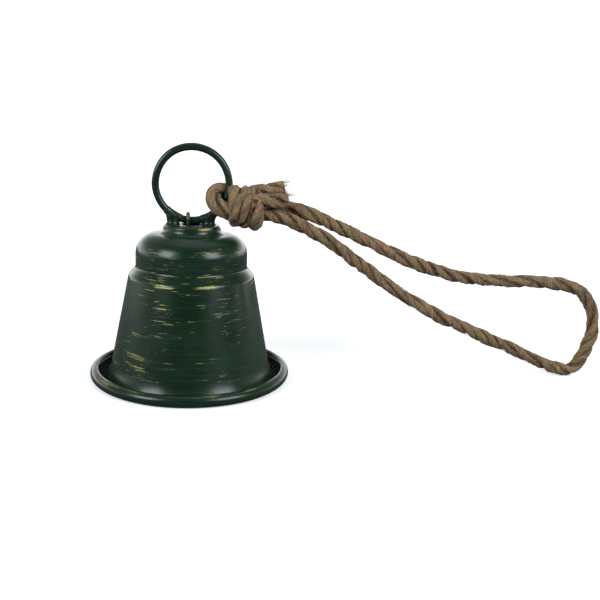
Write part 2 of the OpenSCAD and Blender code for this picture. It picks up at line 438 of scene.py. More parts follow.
def make_paint_skin(name):
    """Sprayed paint: soft change of tone, orange peel, dust and a few scuffs."""
    group, given, out = new_group(
        name,
        [("Vector", "NodeSocketVector", None), ("Paint", "NodeSocketColor", (0, 0, 0, 1)),
         ("Scuffs", "NodeSocketFloat", 0.5)],
        [("Colour", "NodeSocketColor"), ("Rough", "NodeSocketFloat"), ("Height", "NodeSocketFloat")])
    place = given.outputs["Vector"]
    tone = grain(group, place, 28.0, 3.0, 0.6)
    peel = grain(group, place, 900.0, 2.0, 0.5)
    speck = grain(group, place, 2600.0, 1.0, 0.5)
    scuff = fit_range(group, grain(group, stretched(group, place, (1.0, 1.0, 3.0)), 420.0, 6.0, 0.7),
                      0.62, 0.72)
    scuff = scaled(group, scuff, given.outputs["Scuffs"])
    darker = tinted(group, given.outputs["Paint"], (0.72, 0.76, 0.74))
    lighter = tinted(group, given.outputs["Paint"], (1.45, 1.35, 1.40))
    colour = blend_colour(group, fit_range(group, tone, 0.25, 0.75, shape="SMOOTHSTEP"), darker, lighter)
    colour = blend_colour(group, scuff, colour, (0.055, 0.080, 0.070, 1))
    dust = fit_range(group, speck, 0.70, 0.76, 0.0, 0.35)
    colour = blend_colour(group, dust, colour, (0.10, 0.12, 0.10, 1))
    rough = total(group, fit_range(group, tone, 0.2, 0.8, 0.23, 0.31, "SMOOTHSTEP"),
                  scaled(group, scuff, 0.15))
    height = total(group, peel, scaled(group, scuff, -0.4))
    feed(group, out, {"Colour": colour, "Rough": rough, "Height": height})
    return group


def make_dry_brush(name):
    """Breaks a painted coverage into the fine broken lines that a nearly dry brush leaves."""
    group, given, out = new_group(
        name,
        [("Vector", "NodeSocketVector", None), ("Coverage", "NodeSocketFloat", 0.0)],
        [("Mask", "NodeSocketFloat"), ("Tone", "NodeSocketFloat")])
    place = given.outputs["Vector"]
    lines = grain(group, stretched(group, place, (60.0, 60.0, 3000.0)), 1.0, 3.0, 0.7)
    hairs = grain(group, stretched(group, place, (110.0, 110.0, 6400.0)), 1.0, 2.0, 0.6)
    skips = grain(group, stretched(group, place, (520.0, 520.0, 1500.0)), 1.0, 4.0, 0.7)
    mixed = total(group, scaled(group, lines, 0.50), scaled(group, hairs, 0.28),
                  scaled(group, skips, 0.22))
    level = fit_range(group, mixed, 0.38, 0.66)
    gate = arith(group, "SUBTRACT", 1.0, given.outputs["Coverage"])
    mask = fit_range(group, arith(group, "SUBTRACT", level, gate), 0.02, 0.34, shape="SMOOTHSTEP")
    feed(group, out, {"Mask": mask, "Tone": fit_range(group, lines, 0.35, 0.65)})
    return group


def make_fibre(name):
    """Fine lines that follow a strand, with knots of colour, for jute. Dark where the yarns, lines and
    clumps dip is painted shade; pale on the raised lines and clumps is partly paler fibre and partly
    painted highlight.
    """
    group, given, out = new_group(
        name,
        [("UV", "NodeSocketVector", None), ("Place", "NodeSocketVector", None),
         ("Jute", "NodeSocketColor", (0.2, 0.15, 0.1, 1))],
        [("Colour", "NodeSocketColor"), ("Height", "NodeSocketFloat"), ("Rough", "NodeSocketFloat")])
    cut = put(group, "ShaderNodeSeparateXYZ", {0: given.outputs["UV"]})
    twisted = total(group, cut.outputs[1], scaled(group, cut.outputs[0], -0.55))
    along = put(group, "ShaderNodeCombineXYZ", {0: cut.outputs[0], 1: twisted}).outputs[0]
    yarn = grain(group, stretched(group, along, (1.3, 7.0, 1.0)), 1.0, 3.0, 0.6)
    lines = grain(group, stretched(group, along, (3.4, 25.0, 1.0)), 1.0, 4.0, 0.75)
    fine = grain(group, stretched(group, along, (6.0, 60.0, 1.0)), 1.0, 3.0, 0.65)
    clump = grain(group, given.outputs["Place"], 1050.0, 4.0, 0.75)
    patch = grain(group, given.outputs["Place"], 105.0, 3.0, 0.6)
    hue = grain(group, given.outputs["Place"], 260.0, 2.0, 0.5)
    base = given.outputs["Jute"]
    dark = tinted(group, base, (0.20, 0.18, 0.17))
    pale = tinted(group, base, (2.1, 2.2, 2.2))
    olive = tinted(group, base, (0.95, 1.12, 0.80))
    rust = tinted(group, base, (1.24, 0.92, 0.78))
    colour = blend_colour(group, fit_range(group, hue, 0.36, 0.62), olive, rust)
    # The next five blends follow the same noises as the height: dark where they dip is painted shade in
    # the creases, pale where they rise is partly paler fibre and partly painted highlight
    colour = blend_colour(group, fit_range(group, yarn, 0.36, 0.50, 0.85, 0.0), colour, dark)
    colour = blend_colour(group, fit_range(group, lines, 0.50, 0.66, 0.0, 0.85), colour, pale)
    colour = blend_colour(group, fit_range(group, lines, 0.34, 0.47, 0.85, 0.0), colour, dark)
    colour = blend_colour(group, fit_range(group, clump, 0.55, 0.68, 0.0, 0.6), colour, pale)
    colour = blend_colour(group, fit_range(group, clump, 0.34, 0.46, 0.7, 0.0), colour, dark)
    colour = blend_colour(group, fit_range(group, patch, 0.35, 0.65, 0.25, 0.0), colour, dark)
    height = total(group, scaled(group, yarn, 0.45), scaled(group, lines, 0.40),
                   scaled(group, fine, 0.10), scaled(group, clump, 0.25))
    rough = fit_range(group, lines, 0.3, 0.7, 0.9, 0.72)
    feed(group, out, {"Colour": colour, "Height": height, "Rough": rough})
    return group


def paint_skin(tree, place, paint, scuffs):
    group = once(bpy.data.node_groups, "paint_skin", make_paint_skin)
    return use_group(tree, group, {"Vector": place, "Paint": paint, "Scuffs": scuffs})


# ---------------------------------------------------------------------------- materials


def make_bell_paint(name):
    """Dark green satin paint with dry-brushed gold over it."""
    settings = bpy.context.scene.bell_shell
    material, tree, shader = new_material(name)
    place = object_place(tree)
    run = put(tree, "ShaderNodeAttribute", attribute_name="run").outputs["Fac"]
    gilt = put(tree, "ShaderNodeAttribute", attribute_name="gilt").outputs["Fac"]
    parts = put(tree, "ShaderNodeSeparateXYZ", {0: place})
    brush = put(tree, "ShaderNodeCombineXYZ",
                {0: parts.outputs[0], 1: parts.outputs[1], 2: run}).outputs[0]
    skin = paint_skin(tree, place, settings.paint, 0.25)
    wipe = grain(tree, stretched(tree, brush, (38.0, 38.0, 1300.0)), 1.0, 3.0, 0.6)
    base = blend_colour(tree, fit_range(tree, wipe, 0.50, 0.66, 0.0, 0.5), skin.outputs["Colour"],
                        (0.018, 0.050, 0.030, 1))
    brushed = use_group(tree, once(bpy.data.node_groups, "dry_brush", make_dry_brush),
                        {"Vector": brush, "Coverage": gilt})
    mask = brushed.outputs["Mask"]
    dull = tinted(tree, settings.gold, (0.34, 0.32, 0.30))
    gold = blend_colour(tree, brushed.outputs["Tone"], dull, settings.gold)
    height = total(tree, scaled(tree, skin.outputs["Height"], 0.35), scaled(tree, mask, 0.8))
    feed(tree, shader, {
        "Base Color": blend_colour(tree, mask, base, gold),
        "Metallic": scaled(tree, mask, 0.55),
        "Roughness": blend_value(tree, mask, skin.outputs["Rough"], 0.46),
        "Normal": bumped(tree, height, 0.55, 0.05 * MM),
        "Specular IOR Level": 0.42})
    return material


def make_ring_paint(name):
    """The same green paint on brazed wire, with pale rubbed spots."""
    settings = bpy.context.scene.bell_shell
    material, tree, shader = new_material(name)
    place = object_place(tree)
    skin = paint_skin(tree, place, settings.paint, 0.9)
    rub = fit_range(tree, grain(tree, place, 330.0, 4.0, 0.65), 0.60, 0.72, 0.0, 0.75)
    colour = blend_colour(tree, rub, skin.outputs["Colour"], (0.030, 0.070, 0.055, 1))
    lumps = grain(tree, place, 380.0, 3.0, 0.5)
    height = total(tree, lumps, scaled(tree, skin.outputs["Height"], 0.3))
    feed(tree, shader, {
        "Base Color": colour,
        "Roughness": skin.outputs["Rough"],
        "Normal": bumped(tree, height, 0.6, 0.12 * MM),
        "Specular IOR Level": 0.42})
    return material


def make_hanger_paint(name):
    """Thin green paint on the hanger, worn to brown wire where it rubs on the ring."""
    settings = bpy.context.scene.bell_shell
    material, tree, shader = new_material(name)
    place = object_place(tree)
    skin = paint_skin(tree, place, settings.paint, 1.0)
    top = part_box("clapper_hanger")[1].z
    height = put(tree, "ShaderNodeSeparateXYZ", {0: place}).outputs[2]
    near = fit_range(tree, height, top - 3.2 * MM, top - 0.6 * MM)
    patch = grain(tree, place, 700.0, 4.0, 0.65)
    worn = arith(tree, "ADD", fit_range(tree, patch, 0.60, 0.68), near, clamp=True)
    worn = scaled(tree, worn, fit_range(tree, patch, 0.30, 0.48))
    brown = blend_colour(tree, fit_range(tree, patch, 0.4, 0.6), (0.070, 0.050, 0.040, 1),
                         (0.16, 0.13, 0.11, 1))
    feed(tree, shader, {
        "Base Color": blend_colour(tree, worn, skin.outputs["Colour"], brown),
        "Metallic": scaled(tree, worn, 0.6),
        "Roughness": blend_value(tree, worn, skin.outputs["Rough"], 0.52),
        "Normal": bumped(tree, skin.outputs["Height"], 0.6, 0.06 * MM)})
    return material


def make_zinc(name):
    """Dull zinc-plated steel with fine scratches, darker where handled and a little rust."""
    settings = bpy.context.scene.bell_clapper
    material, tree, shader = new_material(name)
    place = object_place(tree)
    cloud = grain(tree, place, 160.0, 4.0, 0.6)
    scratch = grain(tree, stretched(tree, place, (1.0, 1.0, 14.0)), 420.0, 4.0, 0.7)
    rust = fit_range(tree, grain(tree, place, 240.0, 6.0, 0.7), 0.60, 0.68)
    dark = tinted(tree, settings.steel, (0.55, 0.55, 0.57))
    colour = blend_colour(tree, fit_range(tree, cloud, 0.36, 0.64), dark, settings.steel)
    colour = blend_colour(tree, scaled(tree, rust, 0.6), colour, (0.16, 0.075, 0.035, 1))
    rough = total(tree, fit_range(tree, scratch, 0.3, 0.7, 0.30, 0.48), scaled(tree, rust, 0.3))
    height = total(tree, scaled(tree, scratch, 0.6), cloud)
    feed(tree, shader, {
        "Base Color": colour,
        "Metallic": fit_range(tree, rust, 0.0, 1.0, 1.0, 0.35),
        "Roughness": rough,
        "Normal": bumped(tree, height, 0.5, 0.04 * MM)})
    return material


def make_jute(name):
    """Laid jute: fibres follow each strand, and each strand is darker towards its inner side, painted
    shade in the grooves between the strands.
    """
    settings = bpy.context.scene.bell_rope
    material, tree, shader = new_material(name)
    coordinates = put(tree, "ShaderNodeTexCoord")
    fibre = use_group(tree, once(bpy.data.node_groups, "fibre", make_fibre),
                      {"UV": coordinates.outputs["UV"], "Place": coordinates.outputs["Object"],
                       "Jute": settings.colour})
    # Painted shade: darker towards each strand's inner side, in the grooves where the strands meet
    depth = put(tree, "ShaderNodeAttribute", attribute_name="depth").outputs["Fac"]
    shade = tinted(tree, fibre.outputs["Colour"], (0.50, 0.46, 0.43))
    colour = blend_colour(tree, fit_range(tree, depth, 0.15, 0.85), fibre.outputs["Colour"], shade)
    feed(tree, shader, {
        "Base Color": colour,
        "Roughness": fibre.outputs["Rough"],
        "Normal": bumped(tree, fibre.outputs["Height"], 1.0, 0.7 * MM),
        "Specular IOR Level": 0.25,
        "Sheen Weight": 0.15,
        "Sheen Roughness": 0.5})
    return material


def make_hair(name):
    """Loose fibres, paler than the strands."""
    settings = bpy.context.scene.bell_rope
    material, tree, shader = new_material(name)
    place = object_place(tree)
    patch = grain(tree, place, 700.0, 3.0, 0.6)
    pale = tinted(tree, settings.colour, (1.9, 1.9, 1.9))
    dark = tinted(tree, settings.colour, (0.75, 0.72, 0.68))
    feed(tree, shader, {
        "Base Color": blend_colour(tree, fit_range(tree, patch, 0.35, 0.65), dark, pale),
        "Roughness": fit_range(tree, patch, 0.3, 0.7, 0.85, 0.6),
        "Specular IOR Level": 0.3})
    return material


def material(name, make):
    return once(bpy.data.materials, name, make)


# ---------------------------------------------------------------------------- rope


def lay_strand(bm, line, turn, rope, seed, swell):
    """Adds one strand of a laid rope to a bmesh. turn is its angle round the rope at each point of
    the line, and swell the rope's size there, as a share of the full one."""
    count = len(line)
    uv_layer = bm.loops.layers.uv.get("UVMap") or bm.loops.layers.uv.new("UVMap")
    depth_layer = bm.verts.layers.float.get("depth") or bm.verts.layers.float.new("depth")
    grid = bmesh.ops.create_grid(
        bm, x_segments=count - 1, y_segments=STRAND_SIDES, size=0.5, calc_uvs=True)["verts"]
    flat = np.array([v.co for v in grid])
    station = np.rint((flat[:, 0] + 0.5) * (count - 1)).astype(int)
    around = flat[:, 1] + 0.5
    length = np.linalg.norm(np.diff(line, axis=0), axis=1).sum()
    _, side, up = frames_along(line)
    angle = 2 * math.pi * around + math.pi
    radius = rope.diameter / 2
    run = station * length / count
    lean = np.array([
        0.20 * noise.noise((math.cos(a) * 1.3 + seed, math.sin(a) * 1.3, r / (8 * MM)))
        + 0.17 * noise.noise((math.cos(a) * 3.4, math.sin(a) * 3.4 + seed, r / (4 * MM)))
        for a, r in zip(angle, run)])
    yarn = 0.06 * np.cos(5 * angle - run / (3.2 * MM))
    size = 1 + lean + yarn
    out = radius * (0.49 + 0.56 * np.cos(angle) * size)
    across = radius * 0.60 * np.sin(angle) * (1 + 0.20 * np.cos(angle)) * size
    place = turn[station]
    wide = swell[station]
    shift_side = (out * np.cos(place) - across * np.sin(place)) * wide
    shift_up = (out * np.sin(place) + across * np.cos(place)) * wide
    where = line[station] + side[station] * shift_side[:, None] + up[station] * shift_up[:, None]
    # How far each point lies towards the strand's inner side, where the strands meet; the jute darkens
    # by it as painted shade
    inward = np.clip((0.62 - np.cos(angle)) / 0.62, 0, 1)
    for v, co, d in zip(grid, where, inward):
        v.co = co
        v[depth_layer] = d
    for face in {f for v in grid for f in v.link_faces}:
        for corner in face.loops:
            corner[uv_layer].uv.x *= length / (10 * MM)
    bmesh.ops.remove_doubles(bm, verts=grid, dist=SAME_PLACE)


def lay_rope(bm, line, rope, seed, swell=None, start_turn=0.0):
    """Adds every strand of a laid rope along a line."""
    count = len(line)
    step = np.linalg.norm(line[1] - line[0])
    swell = np.ones(count) if swell is None else swell
    swell = swell * (1 + drift(count, step, 14 * MM, 0.10, seed))
    _, side, up = frames_along(line)
    wander = (side * drift(count, step, 19 * MM, 0.5 * MM, seed + 1)[:, None]
              + up * drift(count, step, 23 * MM, 0.5 * MM, seed + 2)[:, None])
    line = line + wander
    run = np.arange(count) * step
    for k in range(rope.strands):
        turn = (start_turn + 2 * math.pi * (run / rope.lay + k / rope.strands)
                + drift(count, step, 26 * MM, 2.2, seed + 3)
                + drift(count, step, 15 * MM, 0.8, seed + 20 * k))
        own = swell * (1 + drift(count, step, 24 * MM, 0.16, seed + 30 * k))
        lay_strand(bm, line, turn, rope, seed + 10 * k, own)
    return line


def grow_hair(curve, dice, root, frame_there, tree, radius, reach):
    """Adds one loose fibre to a curve. It starts at a rope's surface and stays near the rope."""
    heading, side, up = frame_there
    angle = dice.uniform(0, 2 * math.pi)
    outward = Vector(side * math.cos(angle) + up * math.sin(angle))
    along = Vector(heading) * dice.choice((-1, 1))
    cross = along.cross(outward)
    tight = dice.random() < 0.72
    lift = dice.uniform(0.0, 0.22) if tight else dice.uniform(0.25, 0.95)
    way = (along + outward * lift + cross * dice.uniform(-0.55, 0.55)).normalized()
    spin = dice.uniform(-0.8, 0.8)
    length = dice.uniform(2.5, 8.0) * MM if tight else dice.uniform(1.2, 4.2) * MM
    point = Vector(root) + outward * radius * dice.uniform(0.80, 0.99)
    spline = curve.splines.new("POLY")
    spline.points.add(HAIR_POINTS - 1)
    for n in range(HAIR_POINTS):
        spline.points[n].co = (*point, 1)
        spline.points[n].radius = 1.0 - 0.75 * n / (HAIR_POINTS - 1)
        point = point + way * (length / (HAIR_POINTS - 1))
        off = point - tree.find(point)[0]
        limit = radius + reach
        surface = radius * 0.98
        if off.length > limit:
            point = point - off.normalized() * (off.length - limit)
        if tight and 0 < off.length < surface:
            point = point + off.normalized() * (surface - off.length)
        point.z = max(point.z, HAIR_FLOOR)
        way = (way + cross * spin * 0.35 + outward * dice.uniform(-0.25, 0.12)).normalized()


def add_hairs(bm, line, rope, count, seed, reach, ends=False):
    """Adds loose fibres to a rope: most hug it, some stand off. reach is how far they may stand,
    and with ends, half of them grow at the line's last point."""
    if not count:
        return
    dice = random.Random(seed)
    heading, side, up = frames_along(line)
    curve = bpy.data.curves.new("hairs", "CURVE")
    curve.dimensions = "3D"
    curve.bevel_depth = HAIR_RADIUS
    curve.bevel_resolution = 0
    curve.use_fill_caps = True
    tree = kdtree.KDTree(len(line))
    for i, co in enumerate(line):
        tree.insert(co, i)
    tree.balance()
    for _ in range(count):
        i = len(line) - 1 if ends and dice.random() < 0.5 else dice.randrange(len(line))
        grow_hair(curve, dice, line[i], (heading[i], side[i], up[i]), tree, rope.diameter / 2, reach)
    holder = bpy.data.objects.new("hairs", curve)
    bpy.context.scene.collection.objects.link(holder)
    bpy.context.view_layer.update()
    mesh = bpy.data.meshes.new_from_object(holder.evaluated_get(bpy.context.evaluated_depsgraph_get()))
    old = set(bm.faces)
    bm.from_mesh(mesh)
    for face in bm.faces:
        if face not in old:
            face.material_index = 1
    bpy.data.objects.remove(holder)
    bpy.data.curves.remove(curve)
    bpy.data.meshes.remove(mesh)


def close_ends(bm):
    """Closes a mesh's open ends and turns every face outwards."""
    rim = [e for e in bm.edges if e.is_boundary]
    bmesh.ops.holes_fill(bm, edges=rim, sides=0)
    bmesh.ops.recalc_face_normals(bm, faces=bm.faces)


def jute_pair():
    return [material("laid_jute", make_jute), material("jute_hair", make_hair)]


# ---------------------------------------------------------------------------- operators


class BELL_OT_camera(Operator):
    """Put the camera in front of the bell, looking a little down on it"""

    bl_idname = "bell.camera"
    bl_label = "Camera"

    def execute(self, context):
        studio = context.scene.bell_studio
        data = bpy.data.cameras.new("camera")
        data.lens = studio.lens
        data.sensor_width = 36
        data.clip_start = 0.01
        camera = bpy.data.objects.new("camera", data)
        context.scene.collection.objects.link(camera)
        level = math.cos(studio.tilt)
        ahead = Vector((math.sin(studio.turn) * level, math.cos(studio.turn) * level,
                        -math.sin(studio.tilt)))
        right = Vector((math.cos(studio.turn), -math.sin(studio.turn), 0))
        upward = right.cross(ahead)
        lean = math.cos(studio.roll), math.sin(studio.roll)
        leaned = right * lean[0] + upward * lean[1]
        upright = upward * lean[0] - right * lean[1]
        turn = Matrix((leaned, upright, -ahead)).transposed()
        camera.matrix_world = Matrix.Translation((0, -studio.distance, studio.height)) @ turn.to_4x4()
        context.scene.camera = camera
        return {"FINISHED"}


class BELL_OT_rope(Operator):
    """Lay the jute rope: its loop, the eye through the ring, the knot and the two cut ends"""

    bl_idname = "bell.rope"
    bl_label = "Rope"

    def execute(self, context):
        rope = context.scene.bell_rope
        tails = self.lay_tails(rope)
        knot = self.lay_knot(rope)
        eye = self.lay_eye(rope)
        self.lay_loop(rope, [tails, knot, eye])
        return {"FINISHED"}

    def lay_loop(self, rope, with_pieces):
        bm = bmesh.new()
        line, length = smooth_line(LOOP_ROUTE, ROPE_STEP)
        if abs(length - rope.loop_length) > 0.05 * rope.loop_length:
            raise RuntimeError(f"the loop's route is {length:.4f} m long")
        near = np.minimum(np.linspace(0, length, len(line)), np.linspace(length, 0, len(line)))
        swell_at_knot, swell_reach = 0.15, 22 * MM
        swell = 1 + swell_at_knot * np.exp(-(near / swell_reach) ** 2)
        laid = lay_rope(bm, line, rope, 1, swell)
        close_ends(bm)
        add_hairs(bm, laid, rope, int(rope.hairs * length), 11, 1.6 * MM)
        loop = finish_piece("rope_loop_laid", bm, jute_pair(), "bell", ["rope_loop"])

    def lay_eye(self, rope):
        bm = bmesh.new()
        line, length = smooth_line(EYE_ROUTE, 0.7 * MM)
        laid = lay_rope(bm, line, rope, 2, np.full(len(line), 1.30), 1.0)
        close_ends(bm)
        add_hairs(bm, laid, rope, int(rope.hairs * length), 12, 1.2 * MM)
        return finish_piece("rope_eye_laid", bm, jute_pair(), "bell", ["rope_eye"])

    def lay_knot(self, rope):
        low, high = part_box("rope_knot")
        centre = (low + high) / 2
        tilt = math.radians(9)
        axis = Vector((math.cos(tilt), 0, -math.sin(tilt)))
        across = Vector((0, -1, 0))
        upward = across.cross(axis)
        turns, pitch, radius = 3.15, 5.2 * MM, 6.9 * MM
        first_angle, points_per_turn = -0.6, 16
        route = []
        for i in range(int(turns * points_per_turn) + 1):
            angle = 2 * math.pi * i / points_per_turn + first_angle
            advance = pitch * (i / points_per_turn - turns / 2)
            route.append(centre + axis * advance + upward * radius * math.cos(angle)
                         + across * radius * math.sin(angle))
        bm = bmesh.new()
        line, length = smooth_line(route, ROPE_STEP)
        laid = lay_rope(bm, line, rope, 3, np.full(len(line), 1.06), 0.4)
        core, _ = smooth_line([centre + axis * x * MM for x in (-9, -3, 3, 9)], 1.2 * MM)
        lay_rope(bm, core, rope, 4, np.full(len(core), 1.45))
        close_ends(bm)
        add_hairs(bm, laid, rope, int(rope.hairs * length), 13, 1.2 * MM)
        return finish_piece("rope_knot_laid", bm, jute_pair(), "bell", ["rope_knot"])

    def lay_tails(self, rope):
        bm = bmesh.new()
        for k, (start, turn) in enumerate(zip(TAIL_STARTS, TAIL_TURNS)):
            way = Vector((math.sin(math.radians(turn)), 0, math.cos(math.radians(turn))))
            inside_knot = 5 * MM
            begin = Vector(start) - way * inside_knot
            bend = Vector((0, 0, -0.5 * MM * k))
            line, length = smooth_line(
                [begin, begin + way * 6 * MM, begin + way * 12 * MM + bend,
                 begin + way * 18.2 * MM + bend * 2], 0.6 * MM)
            spread = 1 + 0.10 * np.sin(np.linspace(0, 1, len(line)) * math.pi)
            laid = lay_rope(bm, line, rope, 5 + k, 1.10 * spread, 2.0 * k)
            close_ends(bm)
            add_hairs(bm, laid, rope, int(rope.hairs * length * 1.6), 14 + k, 1.2 * MM, ends=True)
        return finish_piece("rope_tails_laid", bm, jute_pair(), "bell", ["rope_tails"])


class BELL_OT_shell(Operator):
    """Press the bell's shell and brush its gold on"""

    bl_idname = "bell.shell"
    bl_label = "Bell shell"

    def execute(self, context):
        shell = context.scene.bell_shell
        bm = section_of("bell_shell")
        order, runs = self.refine(bm, shell.spacing)
        profile = [(v.co.x, v.co.z) for v in order]
        bmesh.ops.spin(bm, geom=bm.verts[:] + bm.edges[:], cent=(0, 0, 0), axis=(0, 0, 1),
                       dvec=(0, 0, 0), angle=2 * math.pi, steps=shell.segments, use_merge=True)
        bmesh.ops.remove_doubles(bm, verts=bm.verts, dist=SAME_PLACE)
        bmesh.ops.recalc_face_normals(bm, faces=bm.faces)
        self.gild(bm, profile, runs, shell)
        self.soften(bm, shell.dent)
        finish_piece("bell_shell_painted", bm, material("bell_paint", make_bell_paint), "bell",
                     ["bell_shell"])
        return {"FINISHED"}

    def refine(self, bm, spacing):
        """Cuts the section's long edges, softens its corners, and returns its vertices in order,
        with how far each lies along the sheet from the hole in the crown."""
        bmesh.ops.remove_doubles(bm, verts=bm.verts, dist=0.03 * MM)
        for _ in range(6):
            long_edges = [e for e in bm.edges if e.calc_length() > spacing]
            if not long_edges:
                break
            bmesh.ops.subdivide_edges(bm, edges=long_edges, cuts=1)
        for _ in range(2):
            bmesh.ops.smooth_vert(bm, verts=bm.verts, factor=0.5, use_axis_x=True, use_axis_z=True)
        top = max(v.co.z for v in bm.verts)
        start = min((v for v in bm.verts if v.co.z > top - 0.3 * MM), key=lambda v: v.co.x)
        second = max((e.other_vert(start) for e in start.link_edges), key=lambda v: v.co.x)
        order = walk_loop(bm, start, second)
        places = np.array([v.co for v in order])
        gaps = np.linalg.norm(np.diff(places, axis=0), axis=1)
        return order, np.concatenate([[0], np.cumsum(gaps)])

    def gild(self, bm, profile, runs, shell):
        """Writes how far down the sheet each vertex lies, and how much gold the brush left there."""
        tree = kdtree.KDTree(len(profile))
        for i, (x, z) in enumerate(profile):
            tree.insert((x, z, 0), i)
        tree.balance()
        places = np.array([v.co for v in bm.verts])
        radii = np.hypot(places[:, 0], places[:, 1])
        nearest = [tree.find((r, z, 0))[1] for r, z in zip(radii, places[:, 2])]
        run = runs[nearest]
        azimuth = np.degrees(np.arctan2(places[:, 0], -places[:, 1]))
        cover = np.zeros(len(run))
        for stroke in STROKES + self.scatter(shell):
            cover = np.maximum(cover, self.stroke_cover(azimuth, run / MM, *stroke))
        widest = max(x for x, z in profile)
        brim = [i for i, (x, z) in enumerate(profile) if x > 0.88 * widest]
        lip_top = runs[max(brim, key=lambda i: profile[i][1])]
        cover[run > lip_top - 4 * MM] = 0
        for stroke in BRIM_STROKES + self.scatter_brim(shell):
            cover = np.maximum(cover, self.stroke_cover(azimuth, (run - lip_top) / MM, *stroke))
        run_layer = bm.verts.layers.float.new("run")
        gilt_layer = bm.verts.layers.float.new("gilt")
        for v, r, c in zip(bm.verts, run, np.clip(cover, 0, 1.2)):
            v[run_layer] = r
            v[gilt_layer] = c

    def stroke_cover(self, azimuth, run, middle, sweep, down, half_width, rise, weight):
        """How much gold one stroke leaves at each vertex."""
        along = (azimuth - middle + 180) % 360 - 180
        share = np.clip(np.abs(along) / sweep, 0, 1)
        ends = 1 - share ** 1.6
        across = (run - down + rise * along / sweep) / (1.15 * half_width)
        return weight * ends * np.exp(-0.5 * across ** 2)

    def scatter(self, shell):
        """Fainter companions of the main strokes, small dabs all round the bell, thin veils of gold
        where the hand came back to it, and full strokes on the sides and the back."""
        dice = random.Random(shell.seed)
        rows = (8.7, 26.3, 31.8, 42.5, 52, 60, 70, 78, 83, 38)
        dabs = []
        for middle, sweep, down, half_width, rise, weight in STROKES * 2:
            dabs.append((middle + dice.gauss(0, 5), sweep * dice.uniform(0.4, 0.9),
                         down + dice.uniform(-2.2, 2.2), half_width * 0.6,
                         rise * 0.8, weight * dice.uniform(0.6, 0.9)))
        for _ in range(shell.dabs):
            middle = dice.choice((-34, -28, 20, 32, 95, 150, -95, -150)) + dice.gauss(0, 15)
            down = dice.choice((dice.uniform(24, 46), dice.uniform(44, 88)))
            dabs.append((middle, dice.uniform(5, 17), down, dice.uniform(0.25, 0.5),
                         dice.uniform(-0.3, 0.6), dice.uniform(0.42, 0.70)))
        for _ in range(64):
            middle = dice.choice((-34, -27, 24, 34, 100, 160, -100, -155)) + dice.gauss(0, 12)
            dabs.append((middle, dice.uniform(9, 18), dice.uniform(24, 86), dice.uniform(1.2, 3.2),
                         dice.uniform(-0.3, 1.2), dice.uniform(0.30, 0.42)))
        for k in range(34):
            middle = 66 + k * 228 / 33 + dice.gauss(0, 6)
            down = rows[k % len(rows)] + dice.gauss(0, 0.4)
            dabs.append((middle, dice.uniform(12, 26), down, dice.uniform(0.4, 1.2),
                         dice.uniform(-0.9, 0.9), dice.uniform(0.5, 0.9)))
        return dabs

    def scatter_brim(self, shell):
        """Strokes on the rest of the lip."""
        dice = random.Random(shell.seed + 1)
        return [(80 + k * 200 / 13 + dice.gauss(0, 5), dice.uniform(9, 20), dice.uniform(0.6, 3.0),
                 dice.uniform(0.5, 1.4), dice.uniform(-0.3, 0.3), dice.uniform(0.45, 0.9))
                for k in range(14)]

    def soften(self, bm, amount):
        """Moves the sheet in and out a little, as a pressed and handled bell is."""
        waves, ripples, ripple_share = 34, 90, 0.4
        for v in bm.verts:
            out = Vector((v.co.x, v.co.y, 0)).normalized() * amount
            v.co += (out * noise.noise(v.co * waves)
                     + out * ripple_share * noise.noise(v.co * ripples))


